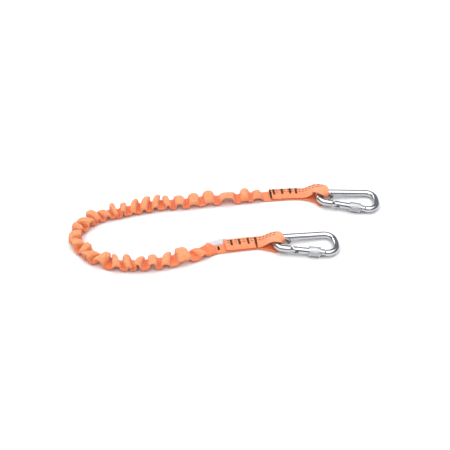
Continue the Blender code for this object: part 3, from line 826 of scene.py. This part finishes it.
class Leg:
    """The folds laid out along the leg, with what is random about them drawn once."""

    def __init__(self):
        self.line, self.along = leg_line()
        total = self.along[-1]
        lengths = np.array([fold[0] for fold in FOLDS], float)
        self.length = lengths * total / lengths.sum()
        self.start = np.concatenate([[0], np.cumsum(self.length)])
        self.height = np.array([fold[1] for fold in FOLDS]) * MM
        self.crest = np.array([fold[2] for fold in FOLDS])
        rng = random.Random(GATHER_SEED)
        count = len(FOLDS)
        # The bend is where the leg twists most.
        twisty = [math.exp(-((k - BEND_FOLD) / TWIST_SPREAD) ** 2) for k in range(count)]
        steep = np.clip(STEEPNESS * self.height / self.length, *STEEPNESS_RANGE)
        self.round = steep * np.array([rng.uniform(*ROUNDNESS) for _ in FOLDS])
        self.skew = np.array([rng.uniform(-SKEW, SKEW) * (1 + SKEW_IN_BEND * t) for t in twisty])
        self.bow = np.array([rng.uniform(-BOW, BOW) for _ in FOLDS])
        self.edge = np.array([rng.uniform(-EDGE_TILT, EDGE_TILT) for _ in FOLDS])
        lean = [rng.uniform(*ROLL_SHARE) * math.radians(ROLL + ROLL_IN_BEND * t) for t in twisty]
        self.roll = np.array([a * (-1) ** k for k, a in enumerate(lean)])
        self.sway = np.array([(rng.uniform(-SWAY, SWAY) + SWAY_IN_BEND * t) * MM for t in twisty])
        self.dome = np.array([rng.uniform(*DOME) for _ in FOLDS])
        self.narrow = np.array([WIDTH_SHARE - NARROWER_IN_BEND * t for t in twisty])
        self.hollow = np.array([rng.uniform(*HOLLOW_RISE) * MM for _ in range(count + 1)])
        self.hollow[[0, -1]] = 0.0

    def smooth(self, values, fold):
        """A value of the folds, led from each fold's middle to the next, and 0 at both straps."""
        places = [0.0, *(np.arange(len(values)) + 0.5), float(len(values))]
        return np.interp(fold, places, [0.0, *values, 0.0])[:, None]

    def on_line(self, s, values):
        """What the line's points have as values, at distances along the line."""
        return np.stack([np.interp(s, self.along, column) for column in values.T], axis=2)

    def rows(self, first, last):
        """Rows over the webbing's width from one fold's start to another's, and half the thickness."""
        fold = np.linspace(first, last, (last - first) * FOLD_ROWS + 1)
        k = np.clip(fold.astype(int), 0, len(FOLDS) - 1)
        t = fold - k
        wave = (1 - np.cos(2 * np.pi * t)) / 2
        rows = self.spread(fold, k, t)
        rows[:, :, 2] = self.heights(fold, k, t, wave)
        return rows, TUBE_HALF * (1 + PUFF * wave)

    def spread(self, fold, k, t):
        """The rows as they lie on the floor, skewed and bowed, and narrowed where the leg twists."""
        v = ACROSS[None, :]
        half = WEB_WIDTH / 2
        run = (t + self.round[k] * np.sin(4 * np.pi * t) / (4 * np.pi)
               - self.crest[k] * np.sin(2 * np.pi * t) / (2 * np.pi))
        s = (self.start[k] + self.length[k] * run)[:, None]
        s = s + self.smooth(self.skew, fold) * v * half + self.smooth(self.bow, fold) * (v**2 - 0.3)
        s = np.clip(s, 0, self.along[-1])
        ahead = np.gradient(self.line, axis=0)
        ahead /= np.linalg.norm(ahead, axis=1, keepdims=True)
        normal = self.on_line(s, np.stack([-ahead[:, 1], ahead[:, 0]], axis=1))
        normal /= np.linalg.norm(normal, axis=2, keepdims=True)
        narrow = np.interp(fold, np.arange(len(FOLDS)) + 0.5, self.narrow)
        from_strap = np.minimum(fold, len(FOLDS) - fold)
        narrow = narrow + (1 - narrow) * np.exp(-from_strap / NARROWS_FROM_STRAP)
        side = half * v * narrow[:, None] * np.cos(self.smooth(self.roll, fold))
        rows = self.on_line(s, self.line)
        rows[:, :, :2] += normal * (side + self.smooth(self.sway, fold))[:, :, None]
        return rows

    def heights(self, fold, k, t, wave):
        """How high each point is: the fold's crest, domed and rolled, and never under the floor."""
        v = ACROSS[None, :]
        half = WEB_WIDTH / 2
        lowest = GAP + TUBE_HALF
        tilt = np.sin(self.smooth(self.roll, fold))
        dome = self.smooth(self.dome, fold)
        hollow = self.hollow[k] * (1 - t) + self.hollow[np.minimum(k + 1, len(FOLDS))] * t
        crest = (self.height[k] * wave)[:, None]
        z = lowest + hollow[:, None] + crest + np.abs(tilt) * half * LIFT_OF_ROLL
        z = z + crest * self.smooth(self.edge, fold) * v - crest * dome * v**2
        z = z + EDGE_CURL * dome * (1 - wave)[:, None] * v**2 + tilt * half * v
        over = np.clip((z - lowest) / FLOOR_SOFTNESS, -30, 30)
        return lowest + FLOOR_SOFTNESS * np.log1p(np.exp(over))


def join_strap(rows, end):
    """Make the leg's last rows run into the strap's first row, at its height and direction."""
    strap, _ = strap_rows(end)
    target = placed(strap[:1], end_matrix(end))[0]
    if end == "far":
        target = target[::-1]
    for i in range(JOINING_ROWS):
        t = ease(1 - i / JOINING_ROWS)
        row = i if end == "far" else -1 - i
        rows[row] = rows[row] * (1 - t) + target * t
    return rows


def gathered_leg(looks):
    """The gathered tube, as two pieces that meet in the bend."""
    leg = Leg()
    for end, first, last in (("far", 0, BEND_FOLD), ("near", BEND_FOLD, len(FOLDS))):
        rows, half = leg.rows(first, last)
        rows = join_strap(rows, end)
        piece = flat_tube(f"{end}_gathered_webbing", rows, half, WEB_WIDTH, looks["gathered"])
        inside = (leg.along >= leg.start[first] - 1e-6) & (leg.along <= leg.start[last] + 1e-6)
        path = leg.line[inside].copy()
        path[:, 2] = SHEATH_Z
        if end == "near":
            path = path[::-1]
        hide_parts("webbing_sheath", "elastic_core")
        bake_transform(piece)


# ---------------------------------------------------------------- stage

CAMERA_AIM = Vector((-0.0833, -0.003, 0))
CAMERA_DISTANCE = 1.0925
CAMERA_ELEVATION = math.radians(40)
CAMERA_LENS = 71.84
SENSOR_WIDTH = 36.0

FLOOR_HALF = 6.0
FLOOR_DARK = (0.93, 0.93, 0.935)
FLOOR_LIGHT = (0.95, 0.95, 0.95)
SOFTBOX_OVER = Vector((-0.08, -0.45, 0))
SOFTBOX_HEIGHT = 1.8
SOFTBOX_SIZE = (3.2, 3.0)
SOFTBOX_POWER = 64
BACK_LIGHT_PLACE = Vector((-1.2, 1.3, 1.2))
BACK_LIGHT_AIM = Vector((-0.08, 0.0, 0.0))
BACK_LIGHT_SIZE = (0.6, 0.6)
BACK_LIGHT_POWER = 6
ROOM_COLOUR = (0.9, 0.93, 1.0, 1.0)
ROOM_IN_REFLECTIONS = 0.26
ROOM_TO_CAMERA = 1.0


def add_camera():
    data = bpy.data.cameras.new("camera")
    data.sensor_width = SENSOR_WIDTH
    data.lens = CAMERA_LENS
    camera = bpy.data.objects.new("camera", data)
    back = Vector((0, -math.cos(CAMERA_ELEVATION), math.sin(CAMERA_ELEVATION)))
    camera.location = CAMERA_AIM + CAMERA_DISTANCE * back
    camera.rotation_euler = (-back).to_track_quat("-Z", "Y").to_euler()
    bpy.context.scene.collection.objects.link(camera)
    bpy.context.scene.camera = camera


def add_light(name, place, aim, size, power):
    data = bpy.data.lights.new(name, "AREA")
    data.shape = "RECTANGLE"
    data.size, data.size_y = size
    data.energy = power
    light = bpy.data.objects.new(name, data)
    light.location = place
    light.rotation_euler = (aim - place).to_track_quat("-Z", "Y").to_euler()
    bpy.context.scene.collection.objects.link(light)


def add_floor():
    nodes = Nodes("floor", 0.9)
    clouds = nodes.noise(FLOOR_CLOUDS, 3.0)
    nodes.shade(Base_Color=nodes.ramp(clouds, [(0.3, FLOOR_DARK), (0.7, FLOOR_LIGHT)]))
    corners = [(-1, -1, 0), (1, -1, 0), (1, 1, 0), (-1, 1, 0)]
    mesh = bpy.data.meshes.new("floor")
    mesh.from_pydata([FLOOR_HALF * Vector(corner) for corner in corners], [], [(0, 1, 2, 3)])
    link(mesh, nodes.material, SOLID_SMOOTH)


def add_room():
    """A room that is dim in reflections, and pale where the camera looks past the floor."""
    world = bpy.data.worlds.new("studio")
    world.use_nodes = True
    tree = world.node_tree
    background = tree.nodes["Background"]
    background.inputs["Color"].default_value = ROOM_COLOUR
    rays = tree.nodes.new("ShaderNodeLightPath")
    strength = tree.nodes.new("ShaderNodeMapRange")
    strength.inputs["To Min"].default_value = ROOM_IN_REFLECTIONS
    strength.inputs["To Max"].default_value = ROOM_TO_CAMERA
    tree.links.new(rays.outputs["Is Camera Ray"], strength.inputs["Value"])
    tree.links.new(strength.outputs["Result"], background.inputs["Strength"])
    bpy.context.scene.world = world


def add_stage():
    add_floor()
    add_light("overhead", SOFTBOX_OVER + UP * SOFTBOX_HEIGHT, SOFTBOX_OVER, SOFTBOX_SIZE, SOFTBOX_POWER)
    add_light("back_left", BACK_LIGHT_PLACE, BACK_LIGHT_AIM, BACK_LIGHT_SIZE, BACK_LIGHT_POWER)
    add_room()
    bpy.context.scene.view_settings.view_transform = "Standard"


# ---------------------------------------------------------------- metal and label

WIRE_SIDES = 40
WIRE_RIM = 0.0006
RIM_START = 0.3             # share of the rim that its first, steepest facet takes
PLATE_RIM = 0.8             # the rounding starts at this share of a plate's half thickness
PLATE_FACE = 0.93           # size of a plate's flat face, against its outline

LIP_RADIUS = 0.0006         # rolled edge of the thimble
LIP_STEPS = 4
GROOVE_STEPS = 10
THIMBLE_SIDES = 72

NUT_RIDGES = 30
SIDES_PER_RIDGE = 4
RIDGE_DEPTH = 0.00035
NUT_CORNER = 0.0006
NUT_STEP = 0.0003           # the ridged middle lies this much under the rims
NUT_STEP_LENGTH = 0.0002
NUT_RIDGE_START = 0.0007    # past the rim

LABEL_ROWS = 24
LABEL_WAVE = 0.0005
LABEL_WAVES = 1.3           # over the label's length
LABEL_DROOP = 0.0004


def wire_shell(points):
    """The hook's round wire along points, with rounded rims at both ends."""
    first = (points[1] - points[0]).normalized() * WIRE_RIM
    last = (points[-1] - points[-2]).normalized() * WIRE_RIM
    path = [
        points[0],
        points[0] + RIM_START * first,
        points[0] + first,
        *points[1:-1],
        points[-1] - last,
        points[-1] - RIM_START * last,
        points[-1],
    ]
    rim = [WIRE_RADIUS - WIRE_RIM, WIRE_RADIUS - RIM_START * WIRE_RIM]
    radii = rim + [WIRE_RADIUS] * (len(path) - 4) + rim[::-1]
    return round_shell(path, radii, WIRE_SIDES)


def plate_shell(outline, half):
    """A flat plate with slightly rounded rims, from an outline in its own plane."""
    middle = sum((Vector(spot) for spot in outline), Vector((0, 0))) / len(outline)
    levels = [(-1, PLATE_FACE), (-PLATE_RIM, 1), (PLATE_RIM, 1), (1, PLATE_FACE)]
    rings = []
    for level, shrink in levels:
        rings.append([(*(middle + (Vector(spot) - middle) * shrink), level * half) for spot in outline])
    return skin(rings)


def arc(centre, radius, start, stop, steps):
    angles = [start + (stop - start) * i / steps for i in range(steps + 1)]
    return [(centre + radius * math.cos(a), radius * math.sin(a)) for a in angles]


def hook_body(end, looks):
    """The bent wire, the flat tongue that the gate turns on, and the notched nose."""
    points = [Vector((*spot, 0)) - WRAP[end] for spot in OUTLINE]
    half = SLOT_HALF - GAP
    shoulder = -GATE_RADIUS - 2 * GAP - WIRE_RADIUS / 2
    tongue = [(shoulder, -CAM_LOW), *arc(0, CAM_LOW, -math.pi / 2, math.pi / 2, 16), (shoulder, CAM_LOW)]
    notch = LATCH_RADIUS + GAP
    tip = NOSE_SLOT_START + 2 * GAP
    root = NOSE_AT - RIVET_AT + WIRE_RADIUS / 2
    nose = [
        (root, -NOSE_HALF),
        (tip, -NOSE_HALF),
        (tip, NOSE_LIP),
        *arc(LATCH_AT, notch, math.pi, 2 * math.pi, 12),
        (LATCH_AT + notch, NOSE_HALF),
        (root, NOSE_HALF),
    ]
    shells = [moved(wire_shell(points), hook_matrix(end))]
    shells += [moved(plate_shell(outline, half), gate_matrix(end)) for outline in (tongue, nose)]
    body = mesh_of_shells(f"{end}_hook_wire", shells, looks["chrome"], SOLID_SMOOTH)
    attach(body, f"{end}_hook")
    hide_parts(f"{end}_hook_body")


def thimble_profile():
    """Section of the thimble as (radius, height): a rolled lip at each edge, and the wire's groove."""
    groove = WIRE_RADIUS + GAP
    reach = math.asin((EYELET_HALF - GAP) / groove)
    angles = [reach * (2 * i / GROOVE_STEPS - 1) for i in range(GROOVE_STEPS + 1)]
    hollow = [(EYE_BEND - groove * math.cos(a), groove * math.sin(a)) for a in angles]
    corner = [math.pi / 2 * i / LIP_STEPS for i in range(LIP_STEPS + 1)]
    lip = [
        (EYELET_HOLE + LIP_RADIUS * (1 - math.sin(a)), EYELET_HALF - LIP_RADIUS * (1 - math.cos(a)))
        for a in corner
    ]
    return lip + [(r, -z) for r, z in reversed(lip)] + hollow


def eyelet(end, looks):
    """The thimble: a pressed ring with rolled lips and a groove for the wire."""
    profile = thimble_profile()
    rings = []
    for i in range(THIMBLE_SIDES):
        a = 2 * math.pi * i / THIMBLE_SIDES
        stretch = EYELET_STRETCH if math.cos(a) > 0 else 1.0
        rings.append([(r * math.cos(a) * stretch, r * math.sin(a), z) for r, z in profile])
    place = hook_matrix(end) @ Matrix.Translation(-WRAP[end])
    ring = moved(skin(rings, torus=True), place)
    made = mesh_of_shells(f"{end}_thimble", [ring], looks["chrome"], SOLID_SMOOTH)
    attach(made, f"{end}_hook")
    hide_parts(f"{end}_eyelet")


def nut_profile():
    """Section of the nut as (radius, place along it, ridge depth), from its bore over its outside."""
    bore = GATE_RADIUS + GAP
    half = NUT_LENGTH / 2
    rim_end = NUT_RIM - half
    profile = [
        (bore, NUT_CORNER - half, 0),
        (bore + NUT_CORNER, -half, 0),
        (NUT_RADIUS - NUT_CORNER, -half, 0),
        (NUT_RADIUS - RIM_START * NUT_CORNER, RIM_START * NUT_CORNER - half, 0),
        (NUT_RADIUS, NUT_CORNER - half, 0),
        (NUT_RADIUS, rim_end, 0),
        (NUT_RADIUS - NUT_STEP, rim_end + NUT_STEP_LENGTH, 0),
        (NUT_RADIUS, rim_end + NUT_RIDGE_START, RIDGE_DEPTH),
    ]
    return profile + [(radius, -x, depth) for radius, x, depth in reversed(profile)]


def lock_nut(end, looks):
    """The sleeve, with a smooth rim at each end and fine ridges between them."""
    sides = NUT_RIDGES * SIDES_PER_RIDGE
    angles = [2 * math.pi * k / sides for k in range(sides)]
    rings = []
    for radius, x, depth in nut_profile():
        radii = [radius - depth * (1 - math.cos(a * NUT_RIDGES)) / 2 for a in angles]
        rings.append([(x, r * math.cos(a), r * math.sin(a)) for r, a in zip(radii, angles)])
    place = gate_matrix(end) @ Matrix.Translation((NUT_START + NUT_LENGTH / 2, 0, 0))
    ring = moved(skin(rings, torus=True), place)
    nut = mesh_of_shells(f"{end}_knurled_nut", [ring], looks["nut"], SOLID_SMOOTH)
    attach(nut, f"{end}_nut")
    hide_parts(f"{end}_lock_nut")


def label(looks):
    """The blank woven label, which leans up and waves a little."""
    length, width, thick = LABEL_SIZE
    lower, _ = strap_layers("near")
    k = next(i for i, row in enumerate(lower) if row[-1].x > LABEL_X)
    edge = lower[k][-1]
    along = (lower[k + 1][-1] - lower[k - 1][-1]).normalized()
    across = Vector((-along.y, along.x, 0))
    near_edge = edge + across * (2 * GAP) + UP * (LABEL_EDGE_Z - edge.z)
    lean = across * math.cos(LABEL_TILT) + UP * math.sin(LABEL_TILT)
    rows = []
    for i in range(LABEL_ROWS + 1):
        t = i / LABEL_ROWS - 0.5
        wave = LABEL_WAVE * math.sin(2 * math.pi * t * LABEL_WAVES)
        row = []
        for v in ACROSS:
            up = (v + 1) / 2
            point = near_edge + along * (length * t) + lean * (width * up)
            row.append(point + UP * ((wave - LABEL_DROOP * up) * up))
        rows.append(row)
    rows = placed(rows, end_matrix("near"))
    flag = flat_tube("woven_label", rows, thick / 2, width, looks["label"])
    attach(flag, "near_strap")
    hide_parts("label")


def dress_cad(looks):
    """Give the CAD nodes that stay their materials."""
    kinds = {
        "gate": "chrome",
        "gate_rivet": "steel",
        "latch_pin": "steel",
        "gate_spring": "steel",
        "gate_plunger": "steel",
    }
    for end in ("far", "near"):
        for node, look in kinds.items():
            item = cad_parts[f"{end}_{node}"]
            item.data.materials.clear()
            item.data.materials.append(looks[look])


add_camera()
looks = {
    "webbing": webbing_material("orange_webbing", (0.87, 0.23, 0.085), (0.96, 0.40, 0.205), 0.0004),
    "gathered": webbing_material("gathered_webbing", (0.87, 0.155, 0.042), (0.98, 0.41, 0.180), 0.0030),
    "black": thread_material("black_thread", (0.006, 0.006, 0.007), (0.03, 0.028, 0.03)),
    "brown": thread_material("edge_thread", (0.22, 0.07, 0.03), (0.34, 0.12, 0.05)),
    "chrome": metal_material("plated_wire", (0.52, 0.53, 0.54), (0.62, 0.63, 0.64), (0.09, 0.17)),
    "steel": metal_material("steel_pin", (0.45, 0.45, 0.46), (0.60, 0.60, 0.61), (0.25, 0.36)),
    "nut": metal_material("satin_nut", (0.50, 0.50, 0.51), (0.62, 0.62, 0.63), (0.38, 0.50)),
    "label": webbing_material("white_label", (0.66, 0.66, 0.69), (0.80, 0.80, 0.82), 0.0002),
}
gathered_leg(looks)
for end in ("far", "near"):
    rows, top_start = eye_strap(end, looks)
    bar_tacks(end, rows, top_start, looks)
    edge_stitches(end, rows, top_start, looks)
    hook_body(end, looks)
    eyelet(end, looks)
    lock_nut(end, looks)
label(looks)
dress_cad(looks)
add_stage()
